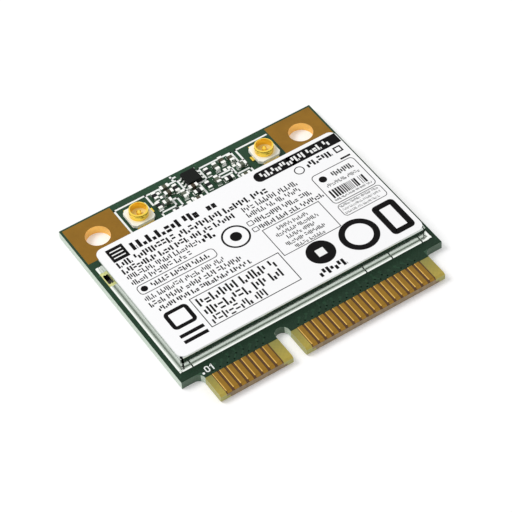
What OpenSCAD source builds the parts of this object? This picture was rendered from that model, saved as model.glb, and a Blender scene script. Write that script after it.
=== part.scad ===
// Half-size mini card for wireless networking in a laptop.
// A circuit board with an edge connector carries a folded shield can under a paper label,
// two antenna sockets, a strip of small parts and two plated screw holes.
// The card lies on its underside: x runs along the contacts, y from the contacts
// to the screw holes, and z up, with the origin under the middle of the board.

/* [Board] */
// Width of the board
board_w = 30; // [29.8:0.1:31]
// Length of the board from the screw edge to the tip of the contact tongue
board_l = 26.8; // [26.6:0.1:28]
// Thickness of the bare laminate
core_t = 0.92; // [0.7:0.02:1.4]
// Thickness of the copper on each face
copper_t = 0.04; // [0.035:0.005:0.06]
// Thickness of the solder mask on each face
mask_t = 0.03; // [0.015:0.005:0.03]
// Bare laminate left between the solder mask and the edge of the board
mask_margin = 0.05; // [0.02:0.01:0.2]

/* [Contact tongue] */
// Width of the tongue
tongue_w = 25.7; // [25.5:0.1:26]
// Depth of the tongue below the board's shoulders
tongue_depth = 3.5; // [3.3:0.1:4]
// Radius in the corner between tongue and shoulder
shoulder_r = 0.8; // [0.4:0.1:1]
// Width of the key notch
notch_w = 1.5; // [1.2:0.1:1.6]
// Middle of the key notch, left of the middle of the board
notch_offset = 4; // [3.9:0.05:4.1]
// Depth of the key notch from the tip
notch_depth = 3.75; // [3.3:0.05:4]
// Length of the lead-in bevel at the tip
bevel_l = 0.24; // [0.1:0.02:0.24]
// Depth of the lead-in bevel into each face
bevel_t = 0.14; // [0.05:0.01:0.25]

/* [Contacts] */
// Width of one contact
contact_w = 0.6; // [0.5:0.02:0.65]
// Length of one contact
contact_l = 2.46; // [2.3:0.02:2.6]
// Distance from one contact to the next
contact_pitch = 0.8; // [0.78:0.01:0.81]
// Bare laminate between a contact and the tip of the tongue
contact_setback = 0.26; // [0.24:0.02:0.4]
// Contacts on each face left of the notch
short_count = 8; // [4:1:8]
// Contacts on each face right of the notch
long_count = 18; // [8:1:18]
// Distance from the middle of the notch to the nearer contact
near_contact = 1.8; // [1.7:0.02:1.84]
// Distance from the middle of the notch to the farther contact
far_contact = 2.2; // [2.1:0.02:2.24]

/* [Screw holes] */
// Diameter of each screw hole inside its plating
hole_d = 2.6; // [2:0.1:3]
// Distance from the side of the board to the middle of a hole
hole_inset = 2.9; // [2.8:0.05:3.1]
// Distance from the screw edge to the middle of a hole
hole_setback = 2.8; // [2.5:0.1:3]
// Thickness of the plating in the holes
plating_t = 0.04; // [0.03:0.005:0.06]
// Width of a screw pad
pad_w = 5.5; // [5:0.1:5.8]
// Length of a screw pad
pad_l = 5.3; // [4.8:0.1:5.35]
// Bare laminate outside a screw pad
pad_margin = 0.24; // [0.2:0.02:0.3]

/* [Shield can] */
// Width of the board beside the can
can_side_gap = 0.9; // [0.85:0.05:1.2]
// Height of the can
can_h = 1.4; // [1.4:0.05:1.8]
// Thickness of the sheet
sheet_t = 0.15; // [0.1:0.01:0.2]
// Inner radius of the folds
fold_r = 0.03; // [0.03:0.01:0.15]
// Distance from the board's shoulders to the front wall
can_front_gap = 1.4; // [1.2:0.05:1.6]
// Distance from the screw edge to the back wall
can_back_gap = 5.65; // [5.64:0.02:5.9]
// Open seam between two walls at a corner
seam_w = 0.15; // [0.08:0.01:0.2]
// Width of the relief slits in the front corners
relief_w = 0.26; // [0.1:0.02:0.3]
// Length of the relief slits, along the diagonal
relief_l = 0.85; // [0.5:0.05:1]
// Size of the cut-away back corners
back_corner = 0.8; // [0.5:0.05:1]

/* [Ground strip] */
// Width of the tinned strip outside the can
strip_out = 0.42; // [0.3:0.02:0.45]
// Width of the tinned strip inside the can
strip_in = 0.2; // [0.1:0.02:0.3]
// Break between two lengths of the strip
strip_break = 0.14; // [0.1:0.02:0.2]
// Distance from the can's left wall to the break near it
left_break = 1; // [0.8:0.1:3]
// Length of the locating slot at the left side
slot_l = 1.3; // [1:0.05:1.5]
// Width of the locating slot
slot_w = 0.3; // [0.2:0.02:0.32]
// Distance from the screw edge to the middle of the slot
slot_setback = 8.3; // [8:0.1:9]
// Length of the gold pad round the slot
slot_pad_l = 2; // [1.8:0.05:2.2]

/* [Label] */
// Thickness of the label
label_t = 0.08; // [0.05:0.01:0.15]
// Distance from the can's walls to the edge of the label
label_inset = 0.02; // [0.02:0.02:0.3]
// Radius of the label's corners
label_r = 0.8; // [0.3:0.1:1.2]

/* [Antenna sockets] */
// Distance from the middle of the board to each socket
socket_x = 7.45; // [7.3:0.05:7.5]
// Distance from the screw edge to the middle of each socket
socket_setback = 3.1; // [2.9:0.05:3.2]
// Side of the moulded base
base_w = 2.6; // [2.4:0.1:2.7]
// Thickness of the moulded base
base_t = 0.36; // [0.3:0.02:0.5]
// Bevel on the corners of the base
base_bevel = 0.35; // [0.2:0.05:0.45]
// Outer diameter of the ring
ring_d = 2; // [1.9:0.02:2.1]
// Wall of the ring
ring_t = 0.16; // [0.12:0.01:0.2]
// Height of the socket above the board's copper
socket_h = 1.25; // [1.1:0.05:1.4]
// Spread of the ring's foot inside the moulding
ring_flare = 0.04; // [0.02:0.01:0.06]
// Depth of the snap groove round the ring
groove_t = 0.06; // [0.03:0.01:0.08]
// Width of the snap groove
groove_w = 0.24; // [0.2:0.02:0.3]
// Distance from the top of the ring to the snap groove
groove_drop = 0.1; // [0.08:0.02:0.2]
// Diameter of the centre pin
pin_d = 0.5; // [0.4:0.02:0.6]
// Height of the centre pin above its leg
pin_h = 0.85; // [0.6:0.05:0.9]
// Thickness of the socket's legs
leg_t = 0.1; // [0.06:0.01:0.15]
// Length of the legs outside the base
leg_out = 0.3; // [0.2:0.02:0.35]

/* [Small parts] */
// Length of a common small part
chip_l = 1; // [0.9:0.02:1.04]
// Width of a common small part
chip_w = 0.5; // [0.4:0.02:0.54]
// Height of a capacitor
capacitor_h = 0.48; // [0.3:0.02:0.6]
// Height of a resistor
resistor_h = 0.34; // [0.25:0.01:0.4]
// Height of an inductor
inductor_h = 0.52; // [0.4:0.02:0.6]
// Length of each metal end
end_l = 0.28; // [0.18:0.02:0.3]
// How far a metal end stands out of the body
end_step = 0.02; // [0.01:0.005:0.04]
// Rounding on the edges of a metal end
end_r = 0.06; // [0.03:0.01:0.1]
// Solder land showing past each end of a small part
land_out = 0.1; // [0.05:0.01:0.14]

/* [Switch chip] */
// Width of the body between its rows of leads
switch_w = 1.66; // [1.5:0.02:1.8]
// Length of the body
switch_l = 1.64; // [1.5:0.02:1.7]
// Height of the body
switch_h = 0.6; // [0.5:0.02:0.8]
// Slope of the body's sides above and below the leads
switch_taper = 0.06; // [0.02:0.01:0.1]
// Length of each lead outside the body
lead_out = 0.34; // [0.25:0.01:0.38]
// Width of a lead
lead_w = 0.2; // [0.15:0.01:0.24]
// Thickness of a lead
lead_t = 0.1; // [0.08:0.01:0.14]
// Distance from one lead to the next
lead_pitch = 0.5; // [0.45:0.01:0.52]
// Leads in each row
lead_count = 3; // [2:1:3]

/* [Chips under the can] */
// Side of the wifi chip
wifi_w = 9; // [7:0.5:9]
// Height of the wifi chip
wifi_h = 0.85; // [0.6:0.05:0.9]
// Side of the front end chip
front_end_w = 4; // [3:0.25:4]
// Height of the front end chip
front_end_h = 0.75; // [0.5:0.05:0.9]
// Length of the memory chip
memory_l = 3; // [2.4:0.1:3.2]
// Width of the memory chip
memory_w = 2; // [2:0.1:2.2]
// Height of the memory chip
memory_h = 0.55; // [0.4:0.05:0.7]
// Distance from one chip contact to the next
joint_pitch = 0.5; // [0.45:0.05:0.55]
// Length of one chip contact
joint_l = 0.4; // [0.3:0.05:0.5]
// Thickness of the solder under a chip
joint_t = 0.05; // [0.03:0.01:0.08]
// Length without contacts at each corner of a chip
joint_corner = 0.75; // [0.6:0.05:1]
// Distance from the edge of a chip to its heat pad
heat_pad_inset = 1.2; // [0.8:0.05:1.4]
// Length of the contacts of the memory chip
memory_joint_l = 0.5; // [0.3:0.05:0.6]
// Length of the crystal
crystal_l = 3.2; // [2.5:0.1:3.4]
// Width of the crystal
crystal_w = 2.5; // [2:0.1:2.6]
// Height of the crystal's ceramic base
crystal_base_h = 0.45; // [0.3:0.05:0.5]
// Height of the crystal's metal lid
crystal_lid_h = 0.3; // [0.2:0.05:0.35]
// Rim of the crystal's base outside the lid
crystal_rim = 0.2; // [0.1:0.05:0.3]
// Length of each land under the crystal
crystal_joint_l = 1; // [0.8:0.05:1.1]
// Width of each land under the crystal
crystal_joint_w = 0.8; // [0.6:0.05:0.9]
// Length of the power inductor
coil_l = 2.5; // [2:0.1:2.8]
// Width of the power inductor
coil_w = 2; // [1.6:0.1:2.2]
// Height of the power inductor
coil_h = 0.9; // [0.7:0.05:1]

/* [Underside] */
// Diameter of a probe pad
test_pad_d = 0.9; // [0.6:0.05:1.2]
// Probe pads in each row
test_pad_count = 5; // [3:1:6]
// Distance from one probe pad to the next
test_pad_pitch = 2.2; // [1.6:0.1:2.6]

/* [Hidden] */
$fn = 48;

// Heights: underside of the laminate, its upper face, and the face of the upper copper
core_z = copper_t;
top_z = core_z + core_t;
land_z = top_z + copper_t;

// Widths across the board
hole_spacing = board_w - 2 * hole_inset;
can_w = board_w - 2 * can_side_gap;

// Lines across the board
back_y = board_l / 2;
tip_y = -board_l / 2;
shoulder_y = tip_y + tongue_depth;
contact_end_y = tip_y + contact_setback + contact_l;
can_front_y = shoulder_y + can_front_gap;
can_back_y = back_y - can_back_gap;
can_x = can_w / 2;
can_mid_y = (can_front_y + can_back_y) / 2;
fold_out = fold_r + sheet_t;
// Overlap that joins two pieces of one solid, and the margin that a cut runs past a face
lap = 0.1;

// Legs of the sockets: the ground legs reach in under the ring, the signal leg to the pin
ground_leg_w = base_w - 2 * base_bevel;
ground_leg_l = base_w / 2 + leg_out - ring_d / 2 + ring_t;
signal_leg_w = pin_d + 0.1;

// Breaks in the strip near the can's right wall, measured from that wall
right_breaks = [7.3, 4.25, 0.7];

// Bends of a lead of the switch chip: at the body, and along the slope down to the foot
lead_bend = 0.02;
lead_slope = 0.08;

// Small parts in the open strip: x, distance from the screw edge, and turn
capacitor_places = [
    [-3.45, 1.35, 0], [-3.45, 2.2, 0], [-1, 2.95, 0], [-1.45, 4.72, 0],
    [3.2, 1.65, 90], [4.15, 1.85, 90], [4.2, 4.75, 0]
];
resistor_places = [
    [-4.8, 1.75, 90], [-5.15, 3.1, 90], [0.4, 3.65, 90], [-2.5, 2.05, 90],
    [1.25, 2.05, 90], [2.62, 4.05, 0], [-3.9, 4.7, 0], [-0.85, 3.72, 0]
];
inductor_places = [
    [-2.3, 3.35, 90], [4.6, 3.3, 0], [1.45, 3.65, 90], [-4.2, 3.2, 0], [2.25, 2.05, 90]
];
// Empty solder lands in the open strip: x, distance from the screw edge, width and length
bare_land_places = [
    [-1.78, 3.1, 0.28, 0.45], [-1.78, 4.15, 0.28, 0.45], [2.95, 2.65, 0.35, 0.35],
    [3.45, 2.65, 0.35, 0.35], [4, 2.7, 0.35, 0.35], [4.55, 2.7, 0.35, 0.35],
    [-2.35, 4.3, 0.5, 0.35], [-4.28, 1.45, 0.3, 0.35], [-4.28, 2.1, 0.3, 0.35]
];
// Middle of the switch chip: x and distance from the screw edge
switch_place = [-0.52, 1.8];

// Place under the can from its walls: a positive distance counts from the left or front wall,
// and a negative one from the right or back wall
function from_walls(p) = [
    p[0] > 0 ? p[0] - can_x : p[0] + can_x,
    p[1] > 0 ? p[1] + can_front_y : p[1] + can_back_y
];

// Middles of the chips under the can, and places and turns of the small parts there
wifi_place = [-2.5, can_mid_y];
front_end_place = from_walls([-6.2, -4.9]);
crystal_place = from_walls([2.2, 3.5]);
memory_place = from_walls([-7.6, 3.3]);
coil_place = from_walls([-2.2, 3.9]);
inner_capacitor_places = [
    [3.3, -2.9, 0], [3.3, -4.5, 0], [3.3, -6.1, 0], [-9, -2.5, 90], [-9, -6.5, 90],
    [-1.4, -3.5, 90], [-1.4, -5.7, 90], [-7.6, 1.2, 0], [9.6, -0.9, 0], [12.6, -0.9, 0]
];
inner_resistor_places = [
    [1.6, -2.9, 0], [1.6, -4.5, 0], [1.6, -6.1, 0], [8.1, 0.9, 0], [10.6, 0.9, 0],
    [13.1, 0.9, 0], [-4.9, 3.9, 90], [15.3, -0.9, 0]
];

// Rectangle with its corners rounded, as a flat shape
module rounded(w, l, r) {
    square([w - 2 * r, l], center = true);
    square([w, l - 2 * r], center = true);
    for (sx = [-1, 1]) {
        for (sy = [-1, 1]) {
            translate([sx * (w / 2 - r), sy * (l / 2 - r)]) circle(r);
        }
    }
}

// Slot with round ends, as a flat shape along y
module slot(w, l) {
    square([w, l - w], center = true);
    for (s = [-1, 1]) {
        translate([0, s * (l - w) / 2]) circle(w / 2);
    }
}

// Key notch, open at the tip and grown by a margin on every side
module notch_shape(margin) {
    half = notch_w / 2 + margin;
    round_y = tip_y + notch_depth - notch_w / 2;
    translate([-notch_offset, 0]) {
        translate([-half, tip_y - lap]) square([2 * half, round_y - tip_y + lap]);
        translate([0, round_y]) circle(half);
    }
}

module board_shape() {
    difference() {
        union() {
            translate([-board_w / 2, shoulder_y]) square([board_w, back_y - shoulder_y]);
            translate([-tongue_w / 2, tip_y]) square([tongue_w, tongue_depth + lap]);
            for (s = [-1, 1]) {
                difference() {
                    translate([s * tongue_w / 2, shoulder_y]) square(2 * shoulder_r, center = true);
                    translate([s * (tongue_w / 2 + shoulder_r), shoulder_y - shoulder_r])
                        circle(shoulder_r);
                    translate([s * (tongue_w / 2 + shoulder_r), shoulder_y - 2 * shoulder_r])
                        square(2 * shoulder_r, center = true);
                }
            }
        }
        notch_shape(0);
    }
}

module screw_hole_places() {
    for (s = [-1, 1]) {
        translate([s * hole_spacing / 2, back_y - hole_setback]) children();
    }
}

module slot_place() {
    translate([-can_x - slot_w / 2, back_y - slot_setback]) children();
}

// Wedge that bevels one face of the tongue's tip
module tip_wedge() {
    translate([-tongue_w / 2 - lap, tip_y, 0]) rotate([90, 0, 90])
        linear_extrude(tongue_w + 2 * lap)
            polygon([[-lap, -lap], [-lap, bevel_t], [0, bevel_t], [bevel_l, 0], [bevel_l, -lap]]);
}

module circuit_board() {
    color("olivedrab") difference() {
        translate([0, 0, core_z]) linear_extrude(core_t) board_shape();
        translate([0, 0, core_z - lap]) screw_hole_places()
            cylinder(r = hole_d / 2 + plating_t, h = core_t + 2 * lap);
        translate([0, 0, core_z - lap]) linear_extrude(core_t + 2 * lap) slot_place()
            slot(slot_w + 2 * plating_t, slot_l + 2 * plating_t);
        translate([0, 0, core_z]) tip_wedge();
        translate([0, 0, top_z]) mirror([0, 0, 1]) tip_wedge();
    }
}

// Part of either face that the solder mask may cover
module mask_field() {
    difference() {
        union() {
            translate([-board_w / 2 + mask_margin, shoulder_y + mask_margin])
                square([board_w - 2 * mask_margin, back_y - shoulder_y - 2 * mask_margin]);
            translate([-tongue_w / 2 + mask_margin, contact_end_y])
                square([tongue_w - 2 * mask_margin, shoulder_y - contact_end_y + mask_margin + lap]);
        }
        notch_shape(mask_margin);
        for (s = [-1, 1]) screw_pad_place(s) square([pad_w, pad_l], center = true);
    }
}

module solder_mask_top() {
    color("darkgreen") translate([0, 0, top_z]) linear_extrude(mask_t) difference() {
        mask_field();
        strip_shape();
        slot_place() slot_pad_square();
        land_shapes();
    }
}

module solder_mask_bottom() {
    color("darkgreen") translate([0, 0, core_z - mask_t]) linear_extrude(mask_t) difference() {
        mask_field();
        test_pad_places() circle(test_pad_d / 2);
        slot_place() slot_pad_square();
    }
}

module screw_pad_place(side) {
    translate([side * (board_w / 2 - pad_margin - pad_w / 2), back_y - pad_margin - pad_l / 2])
        children();
}

// Plated pad on both faces, with the plated wall of its hole between them
module screw_pad(side) {
    hole_x = side * hole_spacing / 2;
    hole_y = back_y - hole_setback;
    color("goldenrod") difference() {
        union() {
            for (z = [0, top_z]) {
                translate([0, 0, z]) linear_extrude(copper_t) screw_pad_place(side)
                    square([pad_w, pad_l], center = true);
            }
            translate([hole_x, hole_y, 0]) cylinder(r = hole_d / 2 + plating_t, h = land_z);
        }
        translate([hole_x, hole_y, -lap]) cylinder(r = hole_d / 2, h = land_z + 2 * lap);
    }
}

// Row of contacts that starts at a given distance right of the notch
module contact_row(count, first_x, z) {
    color("gold") for (i = [0 : count - 1]) {
        translate([first_x + i * contact_pitch - contact_w / 2, tip_y + contact_setback, z])
            cube([contact_w, contact_l, copper_t]);
    }
}

module contacts_short(last_gap, z) {
    contact_row(short_count, -notch_offset - last_gap - (short_count - 1) * contact_pitch, z);
}

module contacts_long(first_gap, z) {
    contact_row(long_count, -notch_offset + first_gap, z);
}

// Tinned track under the can's walls, seen from above, with its breaks
module strip_shape() {
    outer_x = can_x + strip_out;
    inner_x = can_x - sheet_t - strip_in;
    front_out = can_front_y - strip_out;
    front_in = can_front_y + sheet_t + strip_in;
    back_in = can_back_y - sheet_t - strip_in;
    side_end = can_back_y - back_corner;
    difference() {
        union() {
            translate([-outer_x, front_out]) square([2 * outer_x, front_in - front_out]);
            for (s = [-1, 1]) {
                translate([s * (outer_x + inner_x) / 2, (front_out + side_end) / 2])
                    square([outer_x - inner_x, side_end - front_out], center = true);
            }
            translate([-can_x + back_corner, back_in])
                square([can_w - 2 * back_corner, can_back_y - back_in]);
        }
        for (x = concat([left_break - can_x], [for (b = right_breaks) can_x - b])) {
            translate([x - strip_break / 2, front_out - lap])
                square([strip_break, front_in - front_out + 2 * lap]);
        }
        slot_place() slot_pad_square();
    }
}

module ground_strip() {
    color("silver") translate([0, 0, top_z]) linear_extrude(copper_t) strip_shape();
}

// Outline of the gold pad round the slot, from the strip's outer edge to its inner edge
module slot_pad_square() {
    pad_out = strip_out - slot_w / 2;
    pad_in = slot_w / 2 + sheet_t + strip_in;
    translate([-pad_out, -slot_pad_l / 2]) square([pad_out + pad_in, slot_pad_l]);
}

module slot_pad() {
    color("khaki") slot_place() difference() {
        union() {
            for (z = [0, top_z]) {
                translate([0, 0, z]) linear_extrude(copper_t) slot_pad_square();
            }
            linear_extrude(land_z) slot(slot_w + 2 * plating_t, slot_l + 2 * plating_t);
        }
        translate([0, 0, -lap]) linear_extrude(land_z + 2 * lap) slot(slot_w, slot_l);
    }
}

module test_pad_places() {
    for (row = [-1, 1]) {
        for (i = [0 : test_pad_count - 1]) {
            translate([(i - (test_pad_count - 1) / 2) * test_pad_pitch + row * test_pad_pitch / 2,
                       can_mid_y + row * test_pad_pitch]) children();
        }
    }
}

module test_pads() {
    color("gold") linear_extrude(copper_t) test_pad_places() circle(test_pad_d / 2);
}

// Small parts of the open strip, placed from the screw edge
module strip_places(places) {
    for (p = places) {
        translate([p[0], back_y - p[1]]) rotate(p[2]) children();
    }
}

// Small parts under the can, placed from its walls
module inner_places(places) {
    for (p = places) {
        translate(from_walls(p)) rotate(p[2]) children();
    }
}

// Pair of lands under a two-ended part
module land_pair(l, w) {
    for (s = [-1, 1]) {
        translate([s * (l / 2 - end_l / 2 + land_out / 2), 0])
            square([end_l + land_out, w], center = true);
    }
}

// Lands of a socket whose signal leg points along +x
module socket_lands() {
    for (s = [-1, 1]) {
        translate([0, s * (base_w / 2 + leg_out - ground_leg_l / 2)])
            square([ground_leg_w, ground_leg_l], center = true);
    }
    translate([(base_w / 2 + leg_out) / 2, 0])
        square([base_w / 2 + leg_out, signal_leg_w], center = true);
}

module land_shapes() {
    for (places = [capacitor_places, resistor_places, inductor_places]) {
        strip_places(places) land_pair(chip_l, chip_w);
    }
    for (places = [inner_capacitor_places, inner_resistor_places]) {
        inner_places(places) land_pair(chip_l, chip_w);
    }
    for (p = bare_land_places) {
        translate([p[0], back_y - p[1]]) square([p[2], p[3]], center = true);
    }
    for (side = [-1, 1]) socket_side(side) socket_lands();
    switch_lead_places() square([lead_out, lead_w], center = true);
    translate(coil_place) land_pair(coil_l, coil_w);
    translate(wifi_place) chip_joints(wifi_w);
    translate(front_end_place) chip_joints(front_end_w);
    translate(memory_place) memory_joints();
    translate(crystal_place) crystal_joints();
}

module lands() {
    color("gainsboro") translate([0, 0, top_z]) linear_extrude(copper_t) land_shapes();
}

// Section across one wall of the can: the foot at the origin, the wall going up,
// and the fold and a lip turning in along +x
module wall_section() {
    square([sheet_t, can_h - fold_out]);
    difference() {
        intersection() {
            translate([fold_out, can_h - fold_out]) circle(fold_out);
            translate([0, can_h - fold_out - lap / 10]) square([fold_out, fold_out + lap]);
        }
        translate([fold_out, can_h - fold_out]) circle(fold_r);
        translate([sheet_t, can_h - fold_out - lap]) square([fold_out, lap]);
    }
    translate([fold_out - lap / 10, can_h - sheet_t]) square([lap, sheet_t]);
}

// Straight wall along +x whose outer face looks along -y
module wall(l) {
    rotate([90, 0, 90]) linear_extrude(l) wall_section();
}

// Top sheet between the folds, with its back corners cut away
module can_top_shape() {
    top_x = can_x - fold_out;
    front = can_front_y + fold_out;
    back = can_back_y - fold_out;
    polygon([
        [-top_x, front], [top_x, front], [top_x, back - back_corner],
        [top_x - back_corner, back], [-top_x + back_corner, back],
        [-top_x, back - back_corner]
    ]);
}

module shield_can() {
    front_l = can_w - 2 * (sheet_t + seam_w);
    side_front = can_front_y + seam_w / 2;
    side_back = can_back_y - fold_out - back_corner;
    back_l = 2 * (can_x - fold_out - back_corner);
    color("silver") translate([0, 0, land_z]) difference() {
        union() {
            translate([0, 0, can_h - sheet_t]) linear_extrude(sheet_t) can_top_shape();
            translate([-front_l / 2, can_front_y, 0]) wall(front_l);
            translate([back_l / 2, can_back_y, 0]) rotate(180) wall(back_l);
            translate([-can_x, side_back, 0]) rotate(-90) wall(side_back - side_front);
            translate([can_x, side_front, 0]) rotate(90) wall(side_back - side_front);
        }
        for (s = [-1, 1]) {
            translate([s * can_x, can_front_y, can_h - fold_out]) rotate(s * 45)
                linear_extrude(fold_out + lap) slot(relief_w, 2 * relief_l);
        }
    }
}

module label() {
    color("white") translate([0, can_mid_y, land_z + can_h]) linear_extrude(label_t)
        rounded(can_w - 2 * label_inset, can_back_y - can_front_y - 2 * label_inset, label_r);
}

// Base of a socket, as a flat shape with cut corners
module base_shape() {
    h = base_w / 2;
    b = base_bevel;
    polygon([
        [-h, b - h], [b - h, -h], [h - b, -h], [h, b - h],
        [h, h - b], [h - b, h], [b - h, h], [-h, h - b]
    ]);
}

// Wall of the ring with windows that the moulding runs through
module ring_wall() {
    r = ring_d / 2;
    groove_z = socket_h - leg_t - groove_drop - groove_w;
    difference() {
        rotate_extrude() polygon([
            [r - ring_t + ring_flare, 0], [r + ring_flare, 0], [r, base_t], [r, groove_z],
            [r - groove_t, groove_z + groove_w / 2], [r, groove_z + groove_w],
            [r, socket_h - leg_t - groove_t], [r - groove_t, socket_h - leg_t],
            [r - ring_t, socket_h - leg_t], [r - ring_t, base_t]
        ]);
        translate([-r - ring_flare - lap, -signal_leg_w / 2 - lap, -lap])
            cube([2 * (r + ring_flare + lap), signal_leg_w + 2 * lap, lap + base_t / 2]);
    }
}

module socket_base(side) {
    color("ivory") socket_side(side) translate([0, 0, land_z + leg_t]) difference() {
        linear_extrude(base_t) base_shape();
        ring_wall();
        translate([0, 0, -lap]) cylinder(d = pin_d, h = base_t + 2 * lap);
    }
}

module socket_ring(side) {
    color("gold") socket_side(side) {
        translate([0, 0, land_z + leg_t]) ring_wall();
        for (s = [-1, 1]) {
            translate([-ground_leg_w / 2,
                       s * (base_w / 2 + leg_out - ground_leg_l / 2) - ground_leg_l / 2, land_z])
                cube([ground_leg_w, ground_leg_l, leg_t]);
        }
    }
}

module socket_pin(side) {
    color("gold") socket_side(side) {
        translate([-pin_d / 2, -signal_leg_w / 2, land_z])
            cube([pin_d / 2 + base_w / 2 + leg_out, signal_leg_w, leg_t]);
        translate([0, 0, land_z + leg_t / 2]) rotate_extrude() polygon([
            [0, 0], [pin_d / 2, 0], [pin_d / 2, leg_t / 2 + pin_h - pin_d / 4],
            [pin_d / 4, leg_t / 2 + pin_h], [0, leg_t / 2 + pin_h]
        ]);
    }
}

// Puts a socket at its side of the board, with its signal leg towards the middle
module socket_side(side) {
    translate([side * socket_x, back_y - socket_setback, 0]) rotate(side > 0 ? 180 : 0) children();
}

// Middle of each lead's foot on the board
module switch_lead_places() {
    for (side = [-1, 1]) {
        for (i = [0 : lead_count - 1]) {
            translate([switch_place[0] + side * (switch_w + lead_out) / 2,
                       back_y - switch_place[1] + (i - (lead_count - 1) / 2) * lead_pitch])
                children();
        }
    }
}

module switch_chip() {
    half = switch_w / 2;
    rise = switch_h / 2;
    color("dimgray") translate([switch_place[0], back_y - switch_place[1] - switch_l / 2, land_z])
        rotate([90, 0, 180]) linear_extrude(switch_l) polygon([
            [switch_taper - half, 0], [half - switch_taper, 0], [half, rise - lead_t],
            [half, rise], [half - switch_taper, switch_h], [switch_taper - half, switch_h],
            [-half, rise], [-half, rise - lead_t]
        ]);
}

// Gull-wing leads: a foot on the land and a knee that meets the body at half its height
module switch_chip_leads() {
    rise = switch_h / 2;
    color("silver") for (side = [-1, 1]) {
        for (i = [0 : lead_count - 1]) {
            translate([switch_place[0] + side * switch_w / 2,
                       back_y - switch_place[1] + (i - (lead_count - 1) / 2) * lead_pitch, land_z])
                mirror([side > 0 ? 0 : 1, 0, 0]) translate([0, lead_w / 2, 0]) rotate([90, 0, 0])
                    linear_extrude(lead_w) polygon([
                        [0, rise], [lead_t, rise], [lead_t + lead_slope, lead_t],
                        [lead_out, lead_t], [lead_out, 0], [lead_bend + lead_slope, 0],
                        [lead_bend, rise - lead_t], [0, rise - lead_t]
                    ]);
        }
    }
}

// Metal ends of a two-ended part, standing proud of its body
module part_ends(l, w, h) {
    for (s = [-1, 1]) {
        translate([s * (l / 2 - end_l / 2) - end_l / 2, 0, h / 2]) rotate([90, 0, 90])
            linear_extrude(end_l) rounded(w, h, end_r);
    }
}

// Body between the metal ends of a two-ended part
module part_body(l, w, h) {
    translate([end_l - l / 2, end_step - w / 2, end_step])
        cube([l - 2 * end_l, w - 2 * end_step, h - 2 * end_step]);
}

module capacitor_bodies() {
    color("tan") translate([0, 0, land_z]) strip_places(capacitor_places)
        part_body(chip_l, chip_w, capacitor_h);
}

module capacitor_ends() {
    color("silver") translate([0, 0, land_z]) strip_places(capacitor_places)
        part_ends(chip_l, chip_w, capacitor_h);
}

module resistor_bodies() {
    color("dimgray") translate([0, 0, land_z]) strip_places(resistor_places)
        part_body(chip_l, chip_w, resistor_h);
}

module resistor_ends() {
    color("silver") translate([0, 0, land_z]) strip_places(resistor_places)
        part_ends(chip_l, chip_w, resistor_h);
}

module inductor_bodies() {
    color("slategray") translate([0, 0, land_z]) strip_places(inductor_places)
        part_body(chip_l, chip_w, inductor_h);
}

module inductor_ends() {
    color("silver") translate([0, 0, land_z]) strip_places(inductor_places)
        part_ends(chip_l, chip_w, inductor_h);
}

// Contacts of a square chip: a row along each side and a heat pad in the middle
module chip_joints(w) {
    count = floor((w - 2 * joint_corner) / joint_pitch);
    for (turn = [0 : 90 : 270]) {
        rotate(turn) for (i = [0 : count - 1]) {
            translate([(i - (count - 1) / 2) * joint_pitch, (w - joint_l) / 2])
                square([joint_pitch / 2, joint_l], center = true);
        }
    }
    square(w - 2 * heat_pad_inset, center = true);
}

module memory_joints() {
    for (s = [-1, 1]) {
        for (i = [-1.5 : 1 : 1.5]) {
            translate([s * (memory_l - memory_joint_l) / 2, i * joint_pitch])
                square([memory_joint_l, joint_pitch / 2], center = true);
        }
    }
}

module crystal_joints() {
    for (sx = [-1, 1]) {
        for (sy = [-1, 1]) {
            translate([sx * (crystal_l - crystal_joint_l) / 2,
                       sy * (crystal_w - crystal_joint_w) / 2])
                square([crystal_joint_l, crystal_joint_w], center = true);
        }
    }
}

module inner_part(place) {
    translate([place[0], place[1], land_z]) children();
}

module wifi_chip() {
    color("dimgray") inner_part(wifi_place) translate([0, 0, joint_t])
        linear_extrude(wifi_h) square(wifi_w, center = true);
}

module wifi_chip_contacts() {
    color("silver") inner_part(wifi_place) linear_extrude(joint_t) chip_joints(wifi_w);
}

module front_end_chip() {
    color("dimgray") inner_part(front_end_place) translate([0, 0, joint_t])
        linear_extrude(front_end_h) square(front_end_w, center = true);
}

module front_end_contacts() {
    color("silver") inner_part(front_end_place) linear_extrude(joint_t)
        chip_joints(front_end_w);
}

module memory_chip() {
    color("dimgray") inner_part(memory_place) translate([0, 0, joint_t])
        linear_extrude(memory_h) square([memory_l, memory_w], center = true);
}

module memory_chip_contacts() {
    color("silver") inner_part(memory_place) linear_extrude(joint_t) memory_joints();
}

module crystal_base() {
    color("saddlebrown") inner_part(crystal_place)
        linear_extrude(crystal_base_h) square([crystal_l, crystal_w], center = true);
}

module crystal_lid() {
    color("silver") inner_part(crystal_place) translate([0, 0, crystal_base_h])
        linear_extrude(crystal_lid_h)
            rounded(crystal_l - 2 * crystal_rim, crystal_w - 2 * crystal_rim, crystal_rim);
}

module power_inductor() {
    color("slategray") inner_part(coil_place) part_body(coil_l, coil_w, coil_h);
}

module power_inductor_ends() {
    color("silver") inner_part(coil_place) part_ends(coil_l, coil_w, coil_h);
}

module inner_capacitor_bodies() {
    color("tan") translate([0, 0, land_z]) inner_places(inner_capacitor_places)
        part_body(chip_l, chip_w, capacitor_h);
}

module inner_capacitor_ends() {
    color("silver") translate([0, 0, land_z]) inner_places(inner_capacitor_places)
        part_ends(chip_l, chip_w, capacitor_h);
}

module inner_resistor_bodies() {
    color("dimgray") translate([0, 0, land_z]) inner_places(inner_resistor_places)
        part_body(chip_l, chip_w, resistor_h);
}

module inner_resistor_ends() {
    color("silver") translate([0, 0, land_z]) inner_places(inner_resistor_places)
        part_ends(chip_l, chip_w, resistor_h);
}

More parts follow.
